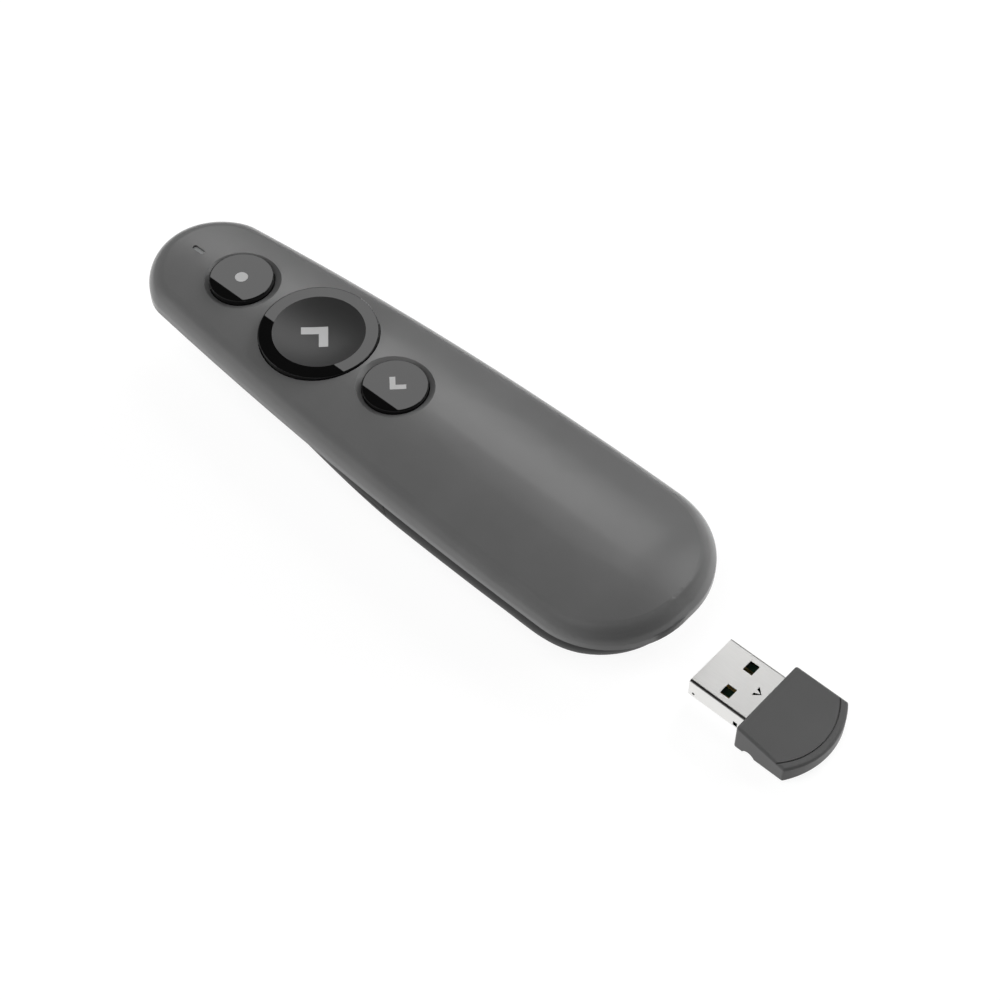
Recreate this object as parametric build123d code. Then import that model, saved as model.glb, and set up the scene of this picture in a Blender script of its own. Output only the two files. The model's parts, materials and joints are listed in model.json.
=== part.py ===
from build123d import *
import math
import os

# A hand-held wireless presentation remote lying on its belly, with its USB receiver pulled out of
# its dock and lying in line behind the tail.  Millimetres, +Z up.
# Origin: on the surface it lies on, under the middle of the handset's length.
# +X runs from the nose (laser end) to the tail (receiver end).

# ------------------------------------------------------------------ handset outline, in plan
body_length = 131.0
widest_x = 45.5
widest_half_width = 19.03
side_radius = 902.0         # the long sides are shallow arcs
nose_radius = 14.2
nose_corner = 8.5           # blend between the round nose and the long sides
tail_corner = 17.6

# ------------------------------------------------------------------ handset heights
case_height = 19.85         # top of the arched cover at its highest point
arch_centre_x = -9.4        # where the cover is highest
arch_radius = 2000.0        # lengthwise arch of the cover
crown_radius = 260.0        # crosswise crown of the cover
cover_depth = 5.65          # from the cover's top down to the parting line
edge_roll = 3.3             # rolled upper edge of the cover
cover_wall = 1.6
parting_gap = 0.12

# ------------------------------------------------------------------ boat-shaped underside
hull_inset = 0.45           # the hull stands this far inside the cover's edge
hull_wall = 1.5
hull_power = 2.05           # fullness of the hull's sides in cross-section
nose_power = 2.2            # fullness of its bow and stern in side view
stern_power = 1.5
foot_share = 0.42           # width of the flat belly, as a share of the full width
nose_foot = 22.0            # how far the flat belly reaches from mid-length
tail_foot = 54.0
seam_x = 9.0                # where the battery cover's edge meets the parting line
seam_reach = 36.0           # how far its round front edge reaches forward of that
seam_half_width = 17.2      # half the width of that round edge
lip_wall = 0.7              # lip of the front shell that fits inside the cover
lip_height = 1.1
lip_gap = 0.08
seam_gap = 0.15
cover_travel = 7.0          # the battery cover slides this far before it lifts off

# ------------------------------------------------------------------ buttons
button_top = 20.1
small_radius = 6.25
large_radius = 11.45
dish_radius = 8.85
dish_depth = 0.75
button_gap = 0.16
laser_x = -45.35
next_x = -24.45
back_x = -4.6
skirt_height = 3.0          # height of a cap's rim
skirt_wall = 1.1
flange_reach = 0.9          # hidden rim that keeps a button in the case
flange_thickness = 0.6
cap_thickness = 1.2
key_thickness = 2.1
key_plate = 0.9
post_radius = 1.2
cap_edge = 0.25
funnel_reach = 1.15         # shallow funnel round each small button
funnel_depth = 0.55
press_travel = 0.5
icon_depth = 0.3
icon_gap = 0.02
dot_radius = 1.25
large_arrow = (5.1, 1.75)   # arm length, stroke width
small_arrow = (3.05, 1.08)

# ------------------------------------------------------------------ electronics
board_thickness = 1.0
board_bottom = 14.9
board_tail_x = 6.0
board_margin = 3.0          # plan distance from the case outline to the board edge
switch_side = 6.0
switch_height = 1.2
stem_radius = 1.6
stem_height = 0.55
stem_gap = 0.06
light_x = -57.4
light_length = 2.9
light_width = 1.0
light_recess = 0.35
light_chip = (1.6, 0.8, 0.7)
laser_axis_z = 11.4
laser_radius = 2.1
laser_wall = 0.35
laser_length = 13.0
laser_front_x = -60.5
lens_thickness = 1.2
lens_setback = 1.0
diode_length = 3.0
window_radius = 1.75
window_depth = 2.6
window_setback = 0.12
running_gap = 0.05
pin_radius = 0.22
pin_pitch = 1.2
pin_reach = 1.2
chip_size = (7.0, 7.0, 0.55)
chip_x = -34.5
crystal_size = (3.2, 2.5, 0.55)
crystal_place = (-14.5, 5.5)
antenna_size = (2.0, 9.0, 0.55)
antenna_place = (4.2, 0.0)

# ------------------------------------------------------------------ batteries and their frame
battery_radius = 5.25
battery_length = 43.3
battery_nub = 1.2
battery_nub_radius = 1.9
battery_pitch = 10.7
battery_axis_z = 7.65
bay_front_x = -21.6
contact_thickness = 0.4
contact_width = 8.6
contact_height = 8.8
contact_tab = 2.0           # width of the tabs that reach up to the board
leaf_width = 4.5
leaf_thickness = 0.3
spring_space = 3.9          # a leaf spring's bow, from its plate to the battery
bay_wall = 1.2
bay_gap = 0.3
bay_bottom = 2.4
deck_bottom = 13.1
deck_top = 14.05
frame_clearance = 0.9       # from the frame to the inside of the hull
frame_front_x = -60.0
frame_tail_x = 56.0
cradle_half_width = 4.2
cradle_length = 9.0
boss_radius = 2.0
screw_radius = 0.75
screw_head_radius = 1.6
screw_head_height = 1.0
screw_depth = 3.2
screw_places = [(-57.6, 6.6), (-57.6, -6.6), (38.0, 11.0), (38.0, -11.0)]

# ------------------------------------------------------------------ receiver, pulled out
plug_tip_x = 71.15
plug_width = 12.0
plug_thickness = 4.5
plug_length = 12.15         # metal that shows in front of the housing
plug_wall = 0.3
plug_root = 1.8             # metal that is held inside the housing
plug_axis_z = 3.3
plug_corner = 0.6
plug_window = (2.0, 2.35)
plug_window_centre = 6.4    # from the tip to the windows' middle
plug_window_pitch = 6.4
housing_length = 10.9       # front face to the rear corners
housing_front_width = 17.0
housing_rear_width = 18.4
housing_front_thickness = 6.3
housing_rear_thickness = 3.8
housing_bow = 3.1           # how far the round end stands past the corners
housing_edge = 0.5
housing_wall = 1.2
grip_x = 3.4                # finger notch across the underside, from the front face
grip_radius = 1.5
grip_drop = 0.3
groove_inset = 1.3
groove_width = 0.25
groove_depth = 0.3
latch_x = 1.65              # crimped latch cut, from the housing's front face to its middle
latch_size = (1.3, 2.3)
dimple_radius = 0.3
side_slot = (0.9, 1.1)
tongue_thickness = 1.9
tongue_width = 10.8
tongue_setback = 0.6
strip_length = 7.4
strip_width = 1.0
strip_thickness = 0.15
strip_places = (-3.5, -1.0, 1.0, 3.5)
receiver_board_size = (8.6, 11.0, 0.8)
receiver_chip_size = (4.0, 4.0, 0.7)
receiver_cavity = 2.2
stow_travel = 40.8

# ------------------------------------------------------------------ dock in the tail
dock_front_x = 29.3
dock_half_width = 10.3
dock_top = 7.2
dock_gap = 0.2              # running clearance round the receiver
dock_seam = 0.1             # between the dock and the battery cover
dock_wall = 0.85
dock_tail_x = 62.0

# ------------------------------------------------------------------ worked out
half_length = body_length / 2
parting_height = case_height - cover_depth
board_top = board_bottom + board_thickness
plug_root_x = plug_tip_x + plug_length
housing_corner_x = plug_root_x + housing_length
housing_end_x = housing_corner_x + housing_bow
cell_span = battery_length + battery_nub
bay_tail_x = bay_front_x + 2 * contact_thickness + spring_space + cell_span + bay_gap
bay_half_width = battery_pitch / 2 + battery_radius + bay_gap
flange_bottom = button_top - skirt_height
stem_top = board_top + switch_height + stem_height
outline_places = 44
hull_levels = 7
big = 400.0


# ------------------------------------------------------------------ shared shapes
def plan_outline(inset=0.0):
    """The handset's plan: long bowed sides, a round nose and a fuller tail, drawn in by inset."""
    far, near = [Pos(widest_x, side * (widest_half_width - side_radius)) * Circle(side_radius - inset)
                 for side in (1, -1)]
    nose_centre = -half_length + nose_radius
    nose = Pos(nose_centre, 0) * Circle(nose_radius - inset)
    tail_end = half_length - inset
    rear = Pos((nose_centre + tail_end) / 2, 0) * Rectangle(tail_end - nose_centre, body_length)
    face = far & near & (nose + rear)
    face = fillet(face.vertices().sort_by(Axis.X)[:2], nose_corner - inset)
    return fillet(face.vertices().sort_by(Axis.X)[-2:], tail_corner - inset)


def outline_prism(inset, bottom, top):
    """The plan outline drawn in by inset, raised from bottom to top."""
    return Pos(0, 0, bottom) * extrude(plan_outline(inset), top - bottom)


def arched_block(height):
    """Everything below the lengthwise arch whose highest point is at height."""
    def arch(x):
        return (x, height - (x - arch_centre_x) ** 2 / (2 * arch_radius))

    lid = ThreePointArc(arch(-body_length), arch(arch_centre_x), arch(body_length))
    rest = Polyline(arch(body_length), (body_length, -body_length), (-body_length, -body_length),
                    arch(-body_length))
    return extrude(Plane.XZ * make_face(lid + rest), body_length, both=True)


def crowned_block(height):
    """Everything below the same arch with a slight crosswise crown."""
    sags = [(body_length, body_length**2 / (2 * arch_radius)), (widest_half_width, widest_half_width**2 / (2 * crown_radius))]
    (length, length_sag), (width, width_sag) = sags
    grid = []
    for i in (-1, 0, 1):
        long_step = length_sag if i == 0 else -length_sag
        row = [(arch_centre_x + i * length, j * 2 * width, height + long_step + (4 * width_sag if j == 0 else -4 * width_sag))
               for j in (-1, 0, 1)]
        grid.append(row)
    return extrude(Face.make_bezier_surface(grid), body_length, (0, 0, -1))


def hull_form(inset, floor):
    """The boat-shaped lower body drawn in by inset, up to the parting height, on a flat at floor."""
    reach = half_length - inset
    rim = plan_outline(inset).face().outer_wire()
    points = [rim @ (i / outline_places) for i in range(outline_places)]
    waterlines = []
    for level in range(hull_levels):
        depth = math.sin(math.pi / 2 * level / (hull_levels - 1))
        narrow = foot_share + (1 - foot_share) * swell(depth, hull_power)
        bow = nose_foot - inset + (half_length - nose_foot) * swell(depth, nose_power)
        stern = tail_foot - inset + (half_length - tail_foot) * swell(depth, stern_power)
        shorten = (stern + bow) / 2 / reach
        scaled = [((stern - bow) / 2 + point.X * shorten, point.Y * narrow) for point in points]
        height = parting_height - (parting_height - floor) * depth
        waterlines.append(Pos(0, 0, height) * make_face(Spline(*scaled, periodic=True)))
    return loft(waterlines)


def swell(depth, power):
    """Falls from 1 at depth 0 to 0 at depth 1 along a rounded curve."""
    return max(0.0, 1 - depth**power) ** (1 / power)


def block(x_range, y_range, z_range):
    """A plain box given by its lowest and highest places."""
    size = [high - low for low, high in (x_range, y_range, z_range)]
    centre = [(low + high) / 2 for low, high in (x_range, y_range, z_range)]
    return Pos(*centre) * Box(*size)


def drum(place, radius, bottom, top):
    """An upright cylinder at place in plan."""
    return Pos(place[0], place[1], (bottom + top) / 2) * Cylinder(radius, top - bottom)


def bar(x_range, centre_z, radius, y=0.0):
    """A cylinder lying along X."""
    length = x_range[1] - x_range[0]
    return Pos(sum(x_range) / 2, y, centre_z) * Rot(0, 90, 0) * Cylinder(radius, length)


def cover_z(x):
    """Height of the cover's top along the centre line."""
    return case_height - (x - arch_centre_x) ** 2 / (2 * arch_radius)


def light_slot(grow, bottom, top):
    """The status light's slot, made larger all round by grow."""
    plan = SlotOverall(light_length + 2 * grow, light_width + 2 * grow)
    return Pos(light_x, 0, bottom) * extrude(plan, top - bottom)


def arrow(size, x, point_up):
    """A right-angled arrow head in plan, centred at x, pointing to +Y or to -Y."""
    arm, stroke = size
    corner = (arm + stroke) / math.sqrt(2) / 2
    head = Polygon((0, 0), (-arm, 0), (-arm, -stroke), (-stroke, -stroke), (-stroke, -arm), (0, -arm), align=None)
    return Pos(x, corner if point_up else -corner) * Rot(0, 0, 45 if point_up else 225) * head


# ------------------------------------------------------------------ case
def cover_form(inset):
    """The cover's outside, drawn in by inset, reaching below the parting line."""
    body = outline_prism(inset, -inset, case_height + 5) & crowned_block(case_height - inset)
    return fillet(body.faces().sort_by(Axis.Z)[-1].edges(), edge_roll - inset)


def make_top_cover():
    shell = cover_form(0) - arched_block(parting_height) - cover_form(cover_wall)
    for x, y in screw_places:
        shell += drum((x, y), boss_radius, deck_top, cover_z(x) - cover_wall / 2)
    for place in screw_places:
        shell -= drum(place, screw_radius, deck_top - 1, deck_top + screw_depth + 0.4)
    for x in (laser_x, back_x):
        hole = small_radius + button_gap
        surface = cover_z(x)
        shell -= drum((x, 0), hole, surface - 3, surface + 1)
        shell -= Pos(x, 0, surface) * Cone(hole, hole + 2 * funnel_reach, 2 * funnel_depth)
    shell -= drum((next_x, 0), large_radius + button_gap, case_height - 4, case_height + 1)
    return shell - light_slot(running_gap, case_height - 4, case_height + 1)


def hull_shell():
    return hull_form(hull_inset, 0) - hull_form(hull_inset + hull_wall, hull_wall)


def battery_cover_region(gap):
    """Plan region of the battery cover, as a tall prism: round in front, open to the tail."""
    round_front = Pos(seam_x, 0) * Ellipse(seam_reach + gap, seam_half_width + gap)
    rear = Pos(seam_x - gap + big / 2, 0) * Rectangle(big, big)
    return Pos(0, 0, -big / 4) * extrude(round_front + rear, big / 2)


def make_lower_case():
    shell = hull_shell() & arched_block(parting_height - parting_gap)
    lip_out = cover_wall + lip_gap
    lip = outline_prism(lip_out, 0, case_height) - outline_prism(lip_out + lip_wall, 0, case_height)
    lip &= arched_block(parting_height + lip_height) - arched_block(parting_height - lip_height)
    shell = (shell + lip) - battery_cover_region(seam_gap)
    nose = -half_length
    return shell - bar((nose - 1, nose + 6), laser_axis_z, window_radius + running_gap)


def make_battery_cover():
    rim = Pos(-cover_travel, 0, 0) * arched_block(parting_height - parting_gap)
    shell = hull_shell() & rim & battery_cover_region(0)
    reach = dock_half_width + dock_seam
    return shell - block((dock_front_x - dock_seam, big), (-reach, reach), (-1, dock_top + dock_seam))


def make_receiver_dock():
    body = block((dock_front_x, dock_tail_x), (-dock_half_width, dock_half_width), (0, dock_top))
    body &= hull_form(hull_inset, 0)
    plug_y = plug_width / 2 + dock_gap
    plug_z = plug_thickness / 2 + dock_gap
    root = plug_root_x - stow_travel
    body -= block((dock_front_x + dock_wall, root), (-plug_y, plug_y), (plug_axis_z - plug_z, plug_axis_z + plug_z))
    side = housing_rear_width / 2 + dock_gap
    roof = plug_axis_z + housing_front_thickness / 2 + dock_gap
    return body - block((root - dock_gap, big), (-side, side), (-1, roof))


# ------------------------------------------------------------------ frame, batteries and contacts
def make_inner_frame():
    inset = hull_inset + hull_wall + frame_clearance
    room = hull_form(inset, hull_wall + frame_clearance)
    deck = block((frame_front_x, frame_tail_x), (-big, big), (deck_bottom, deck_top))
    wide = bay_half_width + bay_wall
    walls = block((bay_front_x - bay_wall, bay_tail_x + bay_wall), (-wide, wide), (bay_bottom, deck_bottom))
    walls -= block((bay_front_x, bay_tail_x), (-bay_half_width, bay_half_width), (0, deck_bottom))
    cradle = block((frame_front_x, frame_front_x + cradle_length), (-cradle_half_width, cradle_half_width),
                   (laser_axis_z - laser_radius, deck_bottom))
    frame = (deck + walls + cradle) & room
    frame -= bar((frame_front_x - 5, laser_front_x + laser_length + 1), laser_axis_z, laser_radius + running_gap)
    for x, y in board_posts():
        frame += drum((x, y), post_radius, deck_bottom, board_bottom)
    for place in screw_places:
        frame -= drum(place, screw_radius + running_gap, deck_bottom - 1, deck_top + 1)
    pins = laser_front_x + laser_length
    reach = pin_pitch + 2 * pin_radius
    frame -= block((pins, pins + pin_reach + 3 * pin_radius), (-reach, reach), (deck_bottom - 1, deck_top + 1))
    for side in (-1, 1):
        frame -= contact_tab_block(side, running_gap)
    return frame


def contact_tab_block(side, grow=0.0):
    """A contact's tab, through the deck up to the board, made larger all round by grow."""
    y = side * battery_pitch / 2
    low = battery_axis_z + contact_height / 2 - grow
    return block((bay_front_x - grow, bay_front_x + contact_thickness + grow),
                 (y - contact_tab / 2 - grow, y + contact_tab / 2 + grow), (low, board_bottom + grow))


def board_posts():
    return [(x, y) for x in (laser_x + 5, next_x + 14) for y in (-9.0, 9.0)]


def make_screws():
    screws = []
    for place in screw_places:
        shank = drum(place, screw_radius, deck_bottom, deck_top + screw_depth)
        screws.append(shank + drum(place, screw_head_radius, deck_bottom - screw_head_height, deck_bottom))
    return Compound(children=screws)


def make_battery(side):
    """One cell; side -1 has its nub at the tail, side +1 has it at the nose."""
    y = side * battery_pitch / 2
    front = bay_front_x + contact_thickness
    if side < 0:
        start = front + spring_space
        cell = bar((start, start + battery_length), battery_axis_z, battery_radius, y)
        nub = (start + battery_length, start + cell_span)
    else:
        start = front + bay_gap
        cell = bar((start + battery_nub, start + cell_span), battery_axis_z, battery_radius, y)
        nub = (start, start + battery_nub)
    return cell + bar(nub, battery_axis_z, battery_nub_radius, y)


def contact_plate(x, y, width):
    low = battery_axis_z - contact_height / 2
    return block((x, x + contact_thickness), (y - width / 2, y + width / 2), (low, low + contact_height))


def leaf_spring(x, y, reach):
    """A strip bowed out from the plate at x by reach, which may be negative."""
    half = contact_height / 2 - 0.6
    middle = battery_axis_z
    outer = ThreePointArc((x, middle - half), (x + reach, middle), (x, middle + half))
    step = leaf_thickness if reach > 0 else -leaf_thickness
    inner = ThreePointArc((x, middle + half - leaf_thickness), (x + reach - step, middle), (x, middle - half + leaf_thickness))
    ends = Line((x, middle + half), (x, middle + half - leaf_thickness)) + Line(
        (x, middle - half + leaf_thickness), (x, middle - half))
    strip = Plane.XZ * make_face(outer + inner + ends)
    return Pos(0, y, 0) * extrude(strip, leaf_width / 2, both=True)


def make_nose_contacts():
    y = battery_pitch / 2
    plates = [contact_plate(bay_front_x, side * y, contact_width) + contact_tab_block(side) for side in (-1, 1)]
    plates[0] += leaf_spring(bay_front_x + contact_thickness, -y, spring_space)
    return Compound(children=plates)


def make_tail_contact():
    x = bay_tail_x - contact_thickness
    plate = contact_plate(x, 0, battery_pitch + contact_width)
    return plate + leaf_spring(x, battery_pitch / 2, -(spring_space))


# ------------------------------------------------------------------ board and its parts
def make_main_board():
    plan = outline_prism(board_margin, board_bottom, board_top)
    board = plan & block((-big, board_tail_x), (-big, big), (0, big))
    for place in screw_places:
        board -= drum(place, boss_radius + bay_gap, 0, case_height)
    return board


def on_board(size, x, y):
    length, width, height = size
    return block((x - length / 2, x + length / 2), (y - width / 2, y + width / 2), (board_top, board_top + height))


def make_switch(x):
    body = on_board((switch_side, switch_side, switch_height), x, 0)
    return body - drum((x, 0), stem_radius + stem_gap, board_top + running_gap, case_height)


def make_stem(x):
    return drum((x, 0), stem_radius, board_top + press_travel + 2 * running_gap, stem_top)


# ------------------------------------------------------------------ buttons
def skirted(x, radius):
    """The ring-shaped rim of a button with its hidden flange."""
    rim = drum((x, 0), radius, flange_bottom, button_top)
    flange = drum((x, 0), radius + flange_reach, flange_bottom, flange_bottom + flange_thickness)
    top = rim.edges().sort_by(Axis.Z)[-1]
    return fillet(top, cap_edge) + flange


def make_small_cap(x, icon):
    cap = skirted(x, small_radius)
    cap -= drum((x, 0), small_radius - skirt_wall, flange_bottom - 1, button_top - cap_thickness)
    cap += drum((x, 0), post_radius, stem_top, button_top - cap_thickness)
    return cap - Pos(0, 0, button_top - icon_depth) * extrude(icon, 1)


def dish():
    ball_radius = (dish_radius**2 + dish_depth**2) / (2 * dish_depth)
    return Pos(next_x, 0, button_top - dish_depth + ball_radius) * Sphere(ball_radius)


def make_next_ring():
    ring = skirted(next_x, large_radius)
    ring -= drum((next_x, 0), large_radius - skirt_wall, flange_bottom - 1, button_top - cap_thickness)
    return ring - drum((next_x, 0), dish_radius, flange_bottom, button_top + 1)


def make_next_key():
    bottom = button_top - key_thickness
    key = drum((next_x, 0), dish_radius - icon_gap, bottom, button_top) - dish()
    key += drum((next_x, 0), large_radius - skirt_wall - running_gap, bottom, button_top - cap_thickness)
    key += drum((next_x, 0), post_radius, stem_top, bottom)
    return key - Pos(0, 0, button_top - dish_depth - icon_depth) * extrude(arrow(large_arrow, next_x, True), 2)


def make_icon(plan, bottom, top):
    return Pos(0, 0, bottom) * extrude(plan, top - bottom)


# ------------------------------------------------------------------ laser and status light
def make_laser_barrel():
    body = bar((laser_front_x, laser_front_x + laser_length), laser_axis_z, laser_radius)
    return body - bar((laser_front_x - 1, laser_front_x + laser_length + 1), laser_axis_z, laser_radius - laser_wall)


def make_laser_lens():
    start = laser_front_x + lens_setback
    radius = laser_radius - laser_wall
    return bar((start, start + lens_thickness), laser_axis_z, radius)


def make_laser_diode():
    end = laser_front_x + laser_length
    radius = laser_radius - laser_wall
    can = bar((end - diode_length, end), laser_axis_z, radius)
    return can


def make_laser_pins():
    start = laser_front_x + laser_length
    pins = []
    for step in (-1, 0, 1):
        y = step * pin_pitch
        bend = start + pin_reach
        pin = bar((start, bend + pin_radius), laser_axis_z, pin_radius, y)
        pins.append(pin + drum((bend, y), pin_radius, laser_axis_z, board_bottom))
    return Compound(children=pins)


def make_light_pipe():
    top = cover_z(light_x) - light_recess
    return light_slot(0, board_top + light_chip[2] + running_gap, top)


def make_laser_window():
    start = -half_length + hull_inset
    plug = bar((start, start + window_depth), laser_axis_z, window_radius)
    return plug & hull_form(hull_inset + window_setback, 0)


# ------------------------------------------------------------------ receiver
def housing_plan(grow=0.0):
    """The receiver housing's plan: slightly flared, with a round end."""
    front, rear = housing_front_width / 2 + grow, housing_rear_width / 2 + grow
    straight = Polyline((housing_corner_x, -rear), (plug_root_x, -front), (plug_root_x, front),
                        (housing_corner_x, rear))
    end = ThreePointArc((housing_corner_x, rear), (housing_end_x + grow, 0), (housing_corner_x, -rear))
    return make_face(straight + end)


def housing_wedge(drop=0.0):
    """Side profile of the housing across its full width, thinner towards the end."""
    front = housing_front_thickness / 2
    slope = (housing_front_thickness - housing_rear_thickness) / 2 / housing_length
    end = front - slope * (housing_length + housing_bow)
    profile = Plane.XZ * Polygon((plug_root_x, -front - drop), (housing_end_x, -end - drop),
                                 (housing_end_x, end - drop), (plug_root_x, front - drop), align=None)
    return Pos(0, 0, plug_axis_z) * extrude(profile, housing_rear_width, both=True)


def make_receiver_housing():
    body = extrude(housing_plan(), 2 * housing_front_thickness) & housing_wedge()
    body = fillet(body.edges(), housing_edge)
    bow_radius = (housing_rear_width**2 / 4 + housing_bow**2) / (2 * housing_bow)
    centre = (housing_end_x - bow_radius, 0)
    ring = drum(centre, bow_radius - groove_inset, 0, big) - drum(
        centre, bow_radius - groove_inset - groove_width, 0, big)
    ring &= block((housing_corner_x - housing_bow, big), (-big, big), (plug_axis_z, big))
    body -= ring - housing_wedge(groove_depth)
    slope = (housing_front_thickness - housing_rear_thickness) / 2 / housing_length
    grip_z = plug_axis_z - housing_front_thickness / 2 + slope * grip_x - grip_drop
    grip = Pos(plug_root_x + grip_x, 0, grip_z) * Rot(90, 0, 0) * Cylinder(grip_radius, big)
    body -= grip
    body -= plug_bar(plug_root_x - 1, plug_root_x + plug_root + running_gap, running_gap)
    length, width, _ = receiver_board_size
    inner = plug_root_x + plug_root
    half_cavity = receiver_cavity / 2
    return body - block((inner, inner + length + bay_gap), (-width / 2 - running_gap, width / 2 + running_gap),
                        (plug_axis_z - half_cavity, plug_axis_z + half_cavity))


def plug_bar(start, end, grow):
    """A bar with the plug's rounded section, made larger all round by grow."""
    section = RectangleRounded(plug_width + 2 * grow, plug_thickness + 2 * grow, plug_corner + grow)
    plane = Plane((start, 0, plug_axis_z), x_dir=(0, 1, 0), z_dir=(1, 0, 0))
    return extrude(plane * section, end - start)


def make_usb_shell():
    end = plug_root_x + plug_root
    shell = plug_bar(plug_tip_x, end, 0) - plug_bar(plug_tip_x - 1, end + 1, -plug_wall)
    x = plug_tip_x + plug_window_centre
    for side in (-1, 1):
        shell -= Pos(x, side * plug_window_pitch / 2, plug_axis_z) * Box(*plug_window, big)
    length, width = latch_size
    latch = plug_root_x - latch_x
    mark = Polygon((latch - length / 2, -width / 2), (latch + length / 2, 0), (latch - length / 2, width / 2), align=None)
    tab = Polygon((latch - length / 2, -width / 5), (latch + length / 3, 0), (latch - length / 2, width / 5), align=None)
    shell -= Pos(0, 0, plug_axis_z) * extrude(mark - tab, big)
    for side in (-1, 1):
        wall = Pos(plug_tip_x + 1.1, side * plug_width / 2, plug_axis_z - plug_thickness / 5)
        shell -= wall * Rot(90, 0, 0) * Cylinder(dimple_radius, 1)
        slot = Pos(plug_root_x - 1.8, side * plug_width / 2, plug_axis_z - plug_thickness / 5)
        shell -= slot * Box(side_slot[0], 1, side_slot[1])
    return shell


def tongue_z():
    """The tongue lies on the bottom of the metal shell."""
    low = plug_axis_z - plug_thickness / 2 + plug_wall
    return low, low + tongue_thickness


def make_usb_tongue():
    return block((plug_tip_x + tongue_setback, plug_root_x + plug_root), (-tongue_width / 2, tongue_width / 2),
                 tongue_z())


def make_usb_contacts():
    top = tongue_z()[1]
    start = plug_tip_x + tongue_setback + 0.4
    strips = [block((start, start + strip_length), (y - strip_width / 2, y + strip_width / 2),
                    (top, top + strip_thickness)) for y in strip_places]
    return Compound(children=strips)


def make_receiver_board():
    length, width, thickness = receiver_board_size
    start = plug_root_x + plug_root
    low = plug_axis_z - receiver_cavity / 2 + running_gap
    return block((start, start + length), (-width / 2, width / 2), (low, low + thickness))


def make_receiver_chip():
    length, width, height = receiver_chip_size
    middle = plug_root_x + plug_root + receiver_board_size[0] / 2
    low = plug_axis_z - receiver_cavity / 2 + running_gap + receiver_board_size[2]
    return block((middle - length / 2, middle + length / 2), (-width / 2, width / 2), (low, low + height))


# ------------------------------------------------------------------ the assembly
def build():
    dot = Pos(laser_x, 0) * Circle(dot_radius)
    back_arrow = arrow(small_arrow, back_x, False)
    next_arrow = arrow(large_arrow, next_x, True)
    flat_icon = (button_top - icon_depth, button_top)
    parts = {
        "top_cover": make_top_cover(),
        "lower_case": make_lower_case(),
        "battery_cover": make_battery_cover(),
        "receiver_dock": make_receiver_dock(),
        "inner_frame": make_inner_frame(),
        "case_screws": make_screws(),
        "battery_near": make_battery(-1),
        "battery_far": make_battery(1),
        "nose_contacts": make_nose_contacts(),
        "tail_contact": make_tail_contact(),
        "main_board": make_main_board(),
        "controller_chip": on_board(chip_size, chip_x, 0),
        "radio_crystal": on_board(crystal_size, *crystal_place),
        "radio_antenna": on_board(antenna_size, *antenna_place),
        "laser_button_cap": make_small_cap(laser_x, dot),
        "laser_button_icon": make_icon(dot, *flat_icon),
        "next_button_ring": make_next_ring(),
        "next_button_key": make_next_key(),
        "next_button_icon": make_icon(next_arrow, button_top - dish_depth - icon_depth, button_top) - dish(),
        "back_button_cap": make_small_cap(back_x, back_arrow),
        "back_button_icon": make_icon(back_arrow, *flat_icon),
        "status_light": on_board(light_chip, light_x, 0),
        "status_light_pipe": make_light_pipe(),
        "laser_barrel": make_laser_barrel(),
        "laser_lens": make_laser_lens(),
        "laser_diode": make_laser_diode(),
        "laser_pins": make_laser_pins(),
        "laser_window": make_laser_window(),
        "receiver_housing": make_receiver_housing(),
        "usb_shell": make_usb_shell(),
        "usb_tongue": make_usb_tongue(),
        "usb_contacts": make_usb_contacts(),
        "receiver_board": make_receiver_board(),
        "receiver_chip": make_receiver_chip(),
    }
    for name, x in (("laser", laser_x), ("next", next_x), ("back", back_x)):
        parts[f"{name}_switch"] = make_switch(x)
        parts[f"{name}_switch_stem"] = make_stem(x)
    return parts


if __name__ == "__main__":
    os.makedirs("parts", exist_ok=True)
    for name, shape in build().items():
        export_step(shape, f"parts/{name}.step")
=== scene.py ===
"""Looks for a wireless presentation remote and its receiver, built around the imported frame."""

import json
import math

import bmesh
import bpy
from mathutils import Matrix, Vector


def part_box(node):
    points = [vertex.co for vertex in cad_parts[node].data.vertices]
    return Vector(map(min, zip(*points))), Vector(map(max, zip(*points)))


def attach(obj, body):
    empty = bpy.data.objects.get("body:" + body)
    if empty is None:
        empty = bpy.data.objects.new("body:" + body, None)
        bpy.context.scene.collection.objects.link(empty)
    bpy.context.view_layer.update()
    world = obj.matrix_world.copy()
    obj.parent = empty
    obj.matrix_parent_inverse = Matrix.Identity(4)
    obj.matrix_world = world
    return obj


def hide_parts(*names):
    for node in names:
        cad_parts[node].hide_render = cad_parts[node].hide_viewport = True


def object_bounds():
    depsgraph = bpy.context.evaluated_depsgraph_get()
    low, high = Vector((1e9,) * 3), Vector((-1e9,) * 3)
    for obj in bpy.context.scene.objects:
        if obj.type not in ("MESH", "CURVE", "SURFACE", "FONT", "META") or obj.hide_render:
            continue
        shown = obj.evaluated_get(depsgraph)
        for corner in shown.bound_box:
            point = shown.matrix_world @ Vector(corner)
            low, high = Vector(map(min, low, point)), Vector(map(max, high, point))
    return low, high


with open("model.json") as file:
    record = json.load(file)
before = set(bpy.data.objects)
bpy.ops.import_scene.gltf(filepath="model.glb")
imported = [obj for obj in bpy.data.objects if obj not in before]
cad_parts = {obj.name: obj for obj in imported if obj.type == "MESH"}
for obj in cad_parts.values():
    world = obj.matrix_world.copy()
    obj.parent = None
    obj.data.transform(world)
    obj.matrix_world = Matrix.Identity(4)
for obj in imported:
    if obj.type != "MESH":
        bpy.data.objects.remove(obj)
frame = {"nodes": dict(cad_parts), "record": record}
cad_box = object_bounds()

MM = 0.001
nodes = frame["nodes"]
scene = bpy.context.scene


# ------------------------------------------------------------------ shader helpers
tint_low, tint_high = 0.2, 0.8  # the noise values at which a tint is fully dark and fully light


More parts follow.
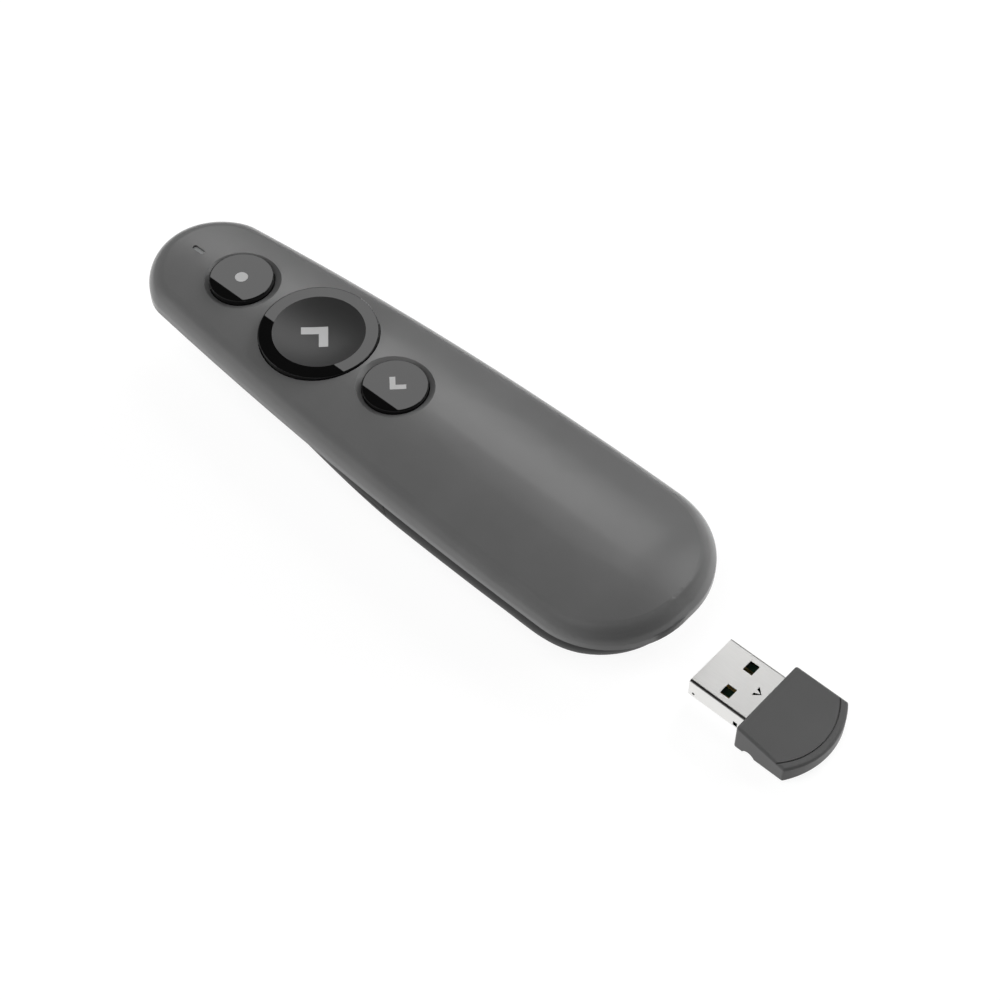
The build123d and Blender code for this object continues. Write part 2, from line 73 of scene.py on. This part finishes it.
class Shader:
    """A small wrapper that adds nodes to one material and links them by socket name."""

    def __init__(self, name):
        self.material = bpy.data.materials.new(name)
        self.material.use_nodes = True
        self.tree = self.material.node_tree
        self.surface = self.tree.nodes["Principled BSDF"]

    def add(self, kind, **values):
        node = self.tree.nodes.new(kind)
        for key, value in values.items():
            node.inputs[key].default_value = value
        return node

    def link(self, source, output, target, socket):
        self.tree.links.new(source.outputs[output], target.inputs[socket])

    def set(self, **values):
        """Values of the surface's own sockets, with _ for the spaces in their names."""
        for key, value in values.items():
            self.surface.inputs[key.replace("_", " ")].default_value = value

    def noise(self, per_mm, detail, rough=0.5, stretch=(1, 1, 1)):
        """Noise over the piece in millimetres; a small stretch along an axis gives long grains."""
        source = self.add("ShaderNodeTexCoord")
        mapping = self.add("ShaderNodeMapping", Scale=[share / MM for share in stretch])
        texture = self.add("ShaderNodeTexNoise", Scale=per_mm, Detail=detail, Roughness=rough)
        self.link(source, "Object", mapping, "Vector")
        self.link(mapping, "Vector", texture, "Vector")
        return texture

    def tint(self, texture, dark, light):
        """The base colour varies between two colours with a texture."""
        ramp = self.add("ShaderNodeValToRGB")
        for element, position, colour in zip(
            ramp.color_ramp.elements, (tint_low, tint_high), (dark, light)
        ):
            element.position = position
            element.color = (*colour, 1)
        self.link(texture, "Fac", ramp, "Fac")
        self.link(ramp, "Color", self.surface, "Base Color")

    def bump(self, texture, height_mm):
        bump = self.add("ShaderNodeBump", Strength=1.0, Distance=height_mm * MM)
        self.link(texture, "Fac", bump, "Height")
        self.link(bump, "Normal", self.surface, "Normal")


def grey(value):
    return (value, value, value)


def shade(colour, factor):
    return tuple(channel * factor for channel in colour)


# ------------------------------------------------------------------ kinds of finish
cloud_per_mm, cloud_detail, cloud_spread = 0.09, 3.0, 0.05
smear_per_mm, smear_detail, smear_rough, smear_spread = 0.25, 4.0, 0.6, 0.1
brush_detail, brush_rough, brush_depth = 3.0, 0.6, 0.06
haze_per_mm, haze_detail, haze_depth = 0.5, 2.0, 0.03
grain_detail = 0.0
acrylic_index = 1.49


def plastic(name, colour, rough, grain_per_mm, grain_mm, level=0.5):
    """Moulded plastic with a fine spark-eroded grain and a faint broad unevenness."""
    shader = Shader(name)
    cloud = shader.noise(cloud_per_mm, cloud_detail)
    shader.tint(cloud, shade(colour, 1 - cloud_spread), shade(colour, 1 + cloud_spread))
    shader.bump(shader.noise(grain_per_mm, grain_detail), grain_mm)
    shader.set(Roughness=rough, Specular_IOR_Level=level)
    return shader.material


def gloss(name, colour, rough):
    """Polished plastic with only a few faint smears."""
    shader = Shader(name)
    smear = shader.noise(smear_per_mm, smear_detail, smear_rough)
    shader.tint(smear, shade(colour, 1 - smear_spread), shade(colour, 1 + smear_spread))
    shader.set(Roughness=rough)
    return shader.material


def metal(name, colour, rough, brush=(1, 1, 1), grain_per_mm=6.0, grain_mm=0.002):
    """Plated or turned metal with fine marks, drawn out along one direction where it is brushed."""
    shader = Shader(name)
    marks = shader.noise(grain_per_mm, brush_detail, brush_rough, brush)
    shader.tint(marks, shade(colour, 1 - brush_depth), colour)
    shader.bump(marks, grain_mm)
    shader.set(Metallic=1.0, Roughness=rough)
    return shader.material


def clear(name, colour, rough):
    """Clear glass or acrylic with a faint haze."""
    shader = Shader(name)
    haze = shader.noise(haze_per_mm, haze_detail)
    shader.tint(haze, shade(colour, 1 - haze_depth), colour)
    shader.set(Roughness=rough, Transmission_Weight=1.0, IOR=acrylic_index)
    return shader.material


# ------------------------------------------------------------------ the finish of each slot
brushed_lengthways = (0.06, 1, 1)
solder_mask = dict(colour=(0.012, 0.09, 0.035), rough=0.3, grain_per_mm=3.0, grain_mm=0.004)

plastics = {
    "soft_grey_shell": dict(colour=grey(0.108), rough=0.24, grain_per_mm=4.0, grain_mm=0.004),
    "dark_hull": dict(colour=grey(0.012), rough=0.4, grain_per_mm=4.0, grain_mm=0.004, level=0.03),
    "dock_black": dict(colour=grey(0.02), rough=0.45, grain_per_mm=4.0, grain_mm=0.01),
    "frame_black": dict(colour=grey(0.03), rough=0.5, grain_per_mm=4.0, grain_mm=0.01),
    "board_green": solder_mask,
    "chip_black": dict(colour=grey(0.02), rough=0.45, grain_per_mm=6.0, grain_mm=0.004),
    "antenna_ceramic": dict(colour=(0.72, 0.7, 0.6), rough=0.4, grain_per_mm=6.0, grain_mm=0.003),
    "button_satin": dict(colour=grey(0.02), rough=0.3, grain_per_mm=8.0, grain_mm=0.002),
    "icon_grey": dict(colour=grey(0.38), rough=0.45, grain_per_mm=8.0, grain_mm=0.003),
    "light_pipe": dict(colour=(0.36, 0.37, 0.37), rough=0.35, grain_per_mm=6.0, grain_mm=0.004),
    "switch_black": dict(colour=grey(0.03), rough=0.5, grain_per_mm=5.0, grain_mm=0.006),
    "switch_stem": dict(colour=grey(0.05), rough=0.45, grain_per_mm=5.0, grain_mm=0.004),
    "receiver_grey": dict(
        colour=grey(0.078), rough=0.4, grain_per_mm=6.0, grain_mm=0.005, level=0.3
    ),
    "tongue_black": dict(colour=(0.006, 0.02, 0.012), rough=0.4, grain_per_mm=5.0, grain_mm=0.004),
    "receiver_green": solder_mask,
}
polished = {
    "cell_jacket": dict(colour=(0.09, 0.09, 0.1), rough=0.25),
    "button_gloss": dict(colour=grey(0.0035), rough=0.005),
    "light_chip": dict(colour=(0.85, 0.85, 0.7), rough=0.1),
    "laser_window": dict(colour=(0.03, 0.003, 0.003), rough=0.04),
}
metals = {
    "screw_steel": dict(colour=(0.5, 0.5, 0.49), rough=0.35),
    "contact_steel": dict(colour=(0.66, 0.66, 0.63), rough=0.25),
    "crystal_can": dict(colour=(0.7, 0.7, 0.68), rough=0.25),
    "laser_brass": dict(colour=(0.72, 0.55, 0.28), rough=0.3),
    "plug_steel": dict(
        colour=(0.86, 0.855, 0.84), rough=0.34, brush=brushed_lengthways, grain_mm=0.0002
    ),
    "contact_gold": dict(colour=(0.83, 0.66, 0.33), rough=0.25),
}
clears = {
    "laser_glass": dict(colour=(0.95, 0.97, 1.0), rough=0.02),
}


def make_materials():
    """One material for each material slot of the record, by the slot's name."""
    kinds = ((plastic, plastics), (gloss, polished), (metal, metals), (clear, clears))
    return {slot: make(slot, **look) for make, looks in kinds for slot, look in looks.items()}


def dress_nodes(materials):
    """Every carried-over CAD node takes the finish of its material slot."""
    for entry in frame["record"]["subparts"]:
        mesh = nodes[entry["node"]].data
        mesh.materials.clear()
        mesh.materials.append(materials[entry["material_slot"]])


# ------------------------------------------------------------------ forms that the solids lack
crown_radius = 100 * MM
tail_fall_radius = 60 * MM
tail_fall_start = 52 * MM
crown_cut = 1.5 * MM
cut_tolerance = 1e-7
cover_roll = 3.3 * MM
facing_down = -0.3
sharp_angle = math.radians(24)

bow_tuck = 0.3
bow_tuck_end = 12 * MM
bow_tuck_full = -45 * MM
tuck_power = 0.6

light_pipe_sink = 0.15 * MM


def stand_for(node, name, mesh, body):
    """A piece with a changed copy of a node's mesh, in that node's place."""
    piece = bpy.data.objects.new(name, mesh)
    scene.collection.objects.link(piece)
    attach(piece, body)
    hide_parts(node)


def share_between(value, start, end):
    """0 up to start, 1 from end, and straight between them."""
    return min(max((value - start) / (end - start), 0), 1)


def smooth_share(value, start, end):
    """0 up to start, 1 from end, and smooth between them."""
    share = share_between(value, start, end)
    return share * share * (3 - 2 * share)


def crown_drop(x, y):
    """How far the crowned cover lies below the flat one."""
    past = max(x - tail_fall_start, 0)
    return y * y / (2 * crown_radius) + past * past / (2 * tail_fall_radius)


def make_crowned_cover():
    """The top cover, crowned across its width and falling away at the tail."""
    low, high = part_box("top_cover")
    form = bmesh.new()
    form.from_mesh(nodes["top_cover"].data)
    for axis, normal in enumerate((Vector((1, 0, 0)), Vector((0, 1, 0)))):
        for step in range(1, math.ceil((high[axis] - low[axis]) / crown_cut)):
            bmesh.ops.bisect_plane(
                form,
                geom=form.verts[:] + form.edges[:] + form.faces[:],
                dist=cut_tolerance,
                plane_co=normal * (low[axis] + step * crown_cut),
                plane_no=normal,
            )
    form.normal_update()
    for vertex in form.verts:
        x, y, z = vertex.co
        if vertex.normal.z > facing_down:
            vertex.co.z -= crown_drop(x, y) * share_between(z, low[2], high[2] - cover_roll)
    mesh = bpy.data.meshes.new("crowned_cover")
    form.to_mesh(mesh)
    form.free()
    mesh.shade_smooth()
    mesh.set_sharp_from_angle(angle=sharp_angle)
    mesh.materials.append(nodes["top_cover"].data.materials[0])
    stand_for("top_cover", "crowned_cover", mesh, "handset")


def make_slim_hull(node, body):
    """A half of the lower shell, drawn in below the parting line towards the bow."""
    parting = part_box("lower_case")[1][2]
    mesh = nodes[node].data.copy()
    for vertex in mesh.vertices:
        x, y, z = vertex.co
        depth = share_between(z, parting, 0)
        tuck = bow_tuck * smooth_share(x, bow_tuck_end, bow_tuck_full) * depth**tuck_power
        vertex.co.y = y * (1 - tuck)
    stand_for(node, "slim_" + node, mesh, body)


def make_sunk_light_pipe():
    """The status light's pipe, a little below the mouth of its slot in the cover."""
    mesh = nodes["status_light_pipe"].data.copy()
    for vertex in mesh.vertices:
        vertex.co.z -= light_pipe_sink
    stand_for("status_light_pipe", "sunk_light_pipe", mesh, "handset")


# ------------------------------------------------------------------ camera
camera_azimuth = math.radians(41.998)
camera_elevation = math.radians(52.447)
camera_lens_px = 2179.9
camera_distance = 415.45 * MM
camera_offset = (-15.869 * MM, 6.482 * MM)
camera_clip = 10 * MM
frame_px = 1000
sensor_mm = 36.0


def camera_matrix():
    """The camera's place and turn, as worked out from the photograph."""
    level = math.cos(camera_elevation)
    back = Vector((
        math.sin(camera_azimuth) * level,
        -math.cos(camera_azimuth) * level,
        math.sin(camera_elevation),
    ))
    right = Vector((math.cos(camera_azimuth), math.sin(camera_azimuth), 0))
    up = back.cross(right)
    place = back * camera_distance - right * camera_offset[0] - up * camera_offset[1]
    turn = Matrix((right, up, back)).transposed().to_4x4()
    return Matrix.Translation(place) @ turn


def make_camera():
    data = bpy.data.cameras.new("camera")
    data.sensor_width = sensor_mm
    data.lens = camera_lens_px / frame_px * sensor_mm
    data.clip_start = camera_clip
    camera = bpy.data.objects.new("camera", data)
    camera.matrix_world = camera_matrix()
    scene.collection.objects.link(camera)
    scene.camera = camera


# ------------------------------------------------------------------ world and floor
white = (1, 1, 1, 1)
world_fill = 0.02
horizon_grey, horizon_height = 0.15, 0.385
ceiling_grey, ceiling_height = 0.0, 0.55
floor_size = 6.0
floor_white = 0.8
floor_bounce = 0.4
floor_glow = 1.1
floor_glow_share = 0.8


def ray_share(tree, kinds):
    """A factor that is 1 for the named kinds of ray and 0 for others."""
    path = tree.nodes.new("ShaderNodeLightPath")
    total = path.outputs[kinds[0]]
    for kind in kinds[1:]:
        either = tree.nodes.new("ShaderNodeMath")
        either.operation = "MAXIMUM"
        tree.links.new(total, either.inputs[0])
        tree.links.new(path.outputs[kind], either.inputs[1])
        total = either.outputs["Value"]
    return total


def mix(tree, share, plain, special):
    """The output of a mix of two shaders; share is a number or a socket."""
    mixed = tree.nodes.new("ShaderNodeMixShader")
    if isinstance(share, float):
        mixed.inputs["Fac"].default_value = share
    else:
        tree.links.new(share, mixed.inputs["Fac"])
    tree.links.new(plain, mixed.inputs[1])
    tree.links.new(special, mixed.inputs[2])
    return mixed.outputs["Shader"]


def make_world():
    """White to the camera, black over a dim horizon in reflections, and a faint fill as light."""
    world = bpy.data.worlds.new("studio")
    scene.world = world
    world.use_nodes = True
    tree = world.node_tree
    tree.nodes.clear()
    new, link = tree.nodes.new, tree.links.new
    fill, backdrop, mirrored = (new("ShaderNodeBackground") for _ in range(3))
    fill.inputs["Strength"].default_value = world_fill
    fill.inputs["Color"].default_value = white
    backdrop.inputs["Color"].default_value = white
    direction, split = new("ShaderNodeTexCoord"), new("ShaderNodeSeparateXYZ")
    link(direction.outputs["Generated"], split.inputs["Vector"])
    ramp = new("ShaderNodeValToRGB")
    horizon, ceiling = ramp.color_ramp.elements
    horizon.position, horizon.color = horizon_height, (*grey(horizon_grey), 1)
    ceiling.position, ceiling.color = ceiling_height, (*grey(ceiling_grey), 1)
    link(split.outputs["Z"], ramp.inputs["Fac"])
    link(ramp.outputs["Color"], mirrored.inputs["Color"])
    reflections = ray_share(tree, ["Is Glossy Ray", "Is Transmission Ray"])
    light = mix(tree, reflections, fill.outputs["Background"], mirrored.outputs["Background"])
    sight = ray_share(tree, ["Is Camera Ray"])
    surroundings = mix(tree, sight, light, backdrop.outputs["Background"])
    link(surroundings, new("ShaderNodeOutputWorld").inputs["Surface"])


def make_floor():
    """A plain floor: white to the eye, where it keeps the object's shadow, and a dimmer bounce."""
    bpy.ops.mesh.primitive_plane_add(size=floor_size, location=(0, 0, 0))
    floor = bpy.context.object
    floor.name = "floor"
    material = bpy.data.materials.new("floor_white")
    material.use_nodes = True
    tree = material.node_tree
    tree.nodes.clear()
    new = tree.nodes.new
    matt, bounce = new("ShaderNodeBsdfDiffuse"), new("ShaderNodeBsdfDiffuse")
    glow = new("ShaderNodeEmission")
    matt.inputs["Color"].default_value = (*grey(floor_white), 1)
    bounce.inputs["Color"].default_value = (*grey(floor_bounce), 1)
    glow.inputs["Strength"].default_value = floor_glow
    seen = mix(tree, floor_glow_share, matt.outputs["BSDF"], glow.outputs["Emission"])
    sight = ray_share(tree, ["Is Camera Ray", "Is Glossy Ray", "Is Transmission Ray"])
    surface = mix(tree, sight, bounce.outputs["BSDF"], seen)
    tree.links.new(surface, new("ShaderNodeOutputMaterial").inputs["Surface"])
    floor.data.materials.append(material)


# ------------------------------------------------------------------ lights
mirror_line_y = -4.0 * MM
box_height = 0.6
box_middle_x = -0.39
box_size = (0.46, 0.24)
box_radiance = 2.7
plug_middle = (78 * MM, 0.0)
card_size = (0.14, 0.2)
card_radiance = 1.0
tail_box_x = 0.12
tail_box_size = (0.3, 0.3)
tail_box_radiance = 1.8
around_distance = 1.3
around_size = (0.7, 0.7)
around = [  # name, azimuth and elevation in degrees, radiance
    ("behind_tail", 45, 15, 6.5),
    ("behind_middle", 90, 15, 13.8),
    ("front_nose", 225, 15, 10.3),
    ("high_front", 270, 65, 4.4),
]


def area_light(name, place, aim, size, radiance, mirrored):
    """A rectangular softbox; radiance is how bright its face looks."""
    data = bpy.data.lights.new(name, "AREA")
    data.shape = "RECTANGLE"
    data.size, data.size_y = size
    data.energy = radiance * math.pi * size[0] * size[1]
    light = bpy.data.objects.new(name, data)
    light.visible_glossy = mirrored
    light.location = place
    light.rotation_euler = (Vector(aim) - Vector(place)).to_track_quat("-Z", "Y").to_euler()
    scene.collection.objects.link(light)


def overhead_light(name, x, y, size, radiance):
    """A softbox that faces straight down and shows in the gloss below it."""
    area_light(name, (x, y, box_height), (x, y, 0), size, radiance, True)


def make_lights():
    """A box whose mirror image ends along the buttons, two more overhead, and soft light."""
    camera_place = camera_matrix().translation
    top = cad_box[1][2]
    rise = (box_height - top) / (camera_place.z - top)
    edge_y = mirror_line_y - (camera_place.y - mirror_line_y) * rise
    box_y = edge_y + box_size[1] / 2
    overhead_light("ceiling_box", box_middle_x, box_y, box_size, box_radiance)
    card_x, card_y = (
        surface - (place - surface) * rise for surface, place in zip(plug_middle, camera_place)
    )
    overhead_light("plug_card", card_x, card_y, card_size, card_radiance)
    overhead_light("tail_box", tail_box_x, box_y, tail_box_size, tail_box_radiance)
    for name, azimuth, elevation, radiance in around:
        turn, tilt = math.radians(azimuth), math.radians(elevation)
        away = Vector((
            math.cos(turn) * math.cos(tilt),
            math.sin(turn) * math.cos(tilt),
            math.sin(tilt),
        ))
        area_light(name, away * around_distance, (0, 0, 0), around_size, radiance, False)


# ------------------------------------------------------------------ put together
dress_nodes(make_materials())
make_crowned_cover()
make_slim_hull("lower_case", "handset")
make_slim_hull("battery_cover", "battery_cover")
make_sunk_light_pipe()
make_world()
make_floor()
make_camera()
make_lights()
scene.view_settings.view_transform = "Standard"
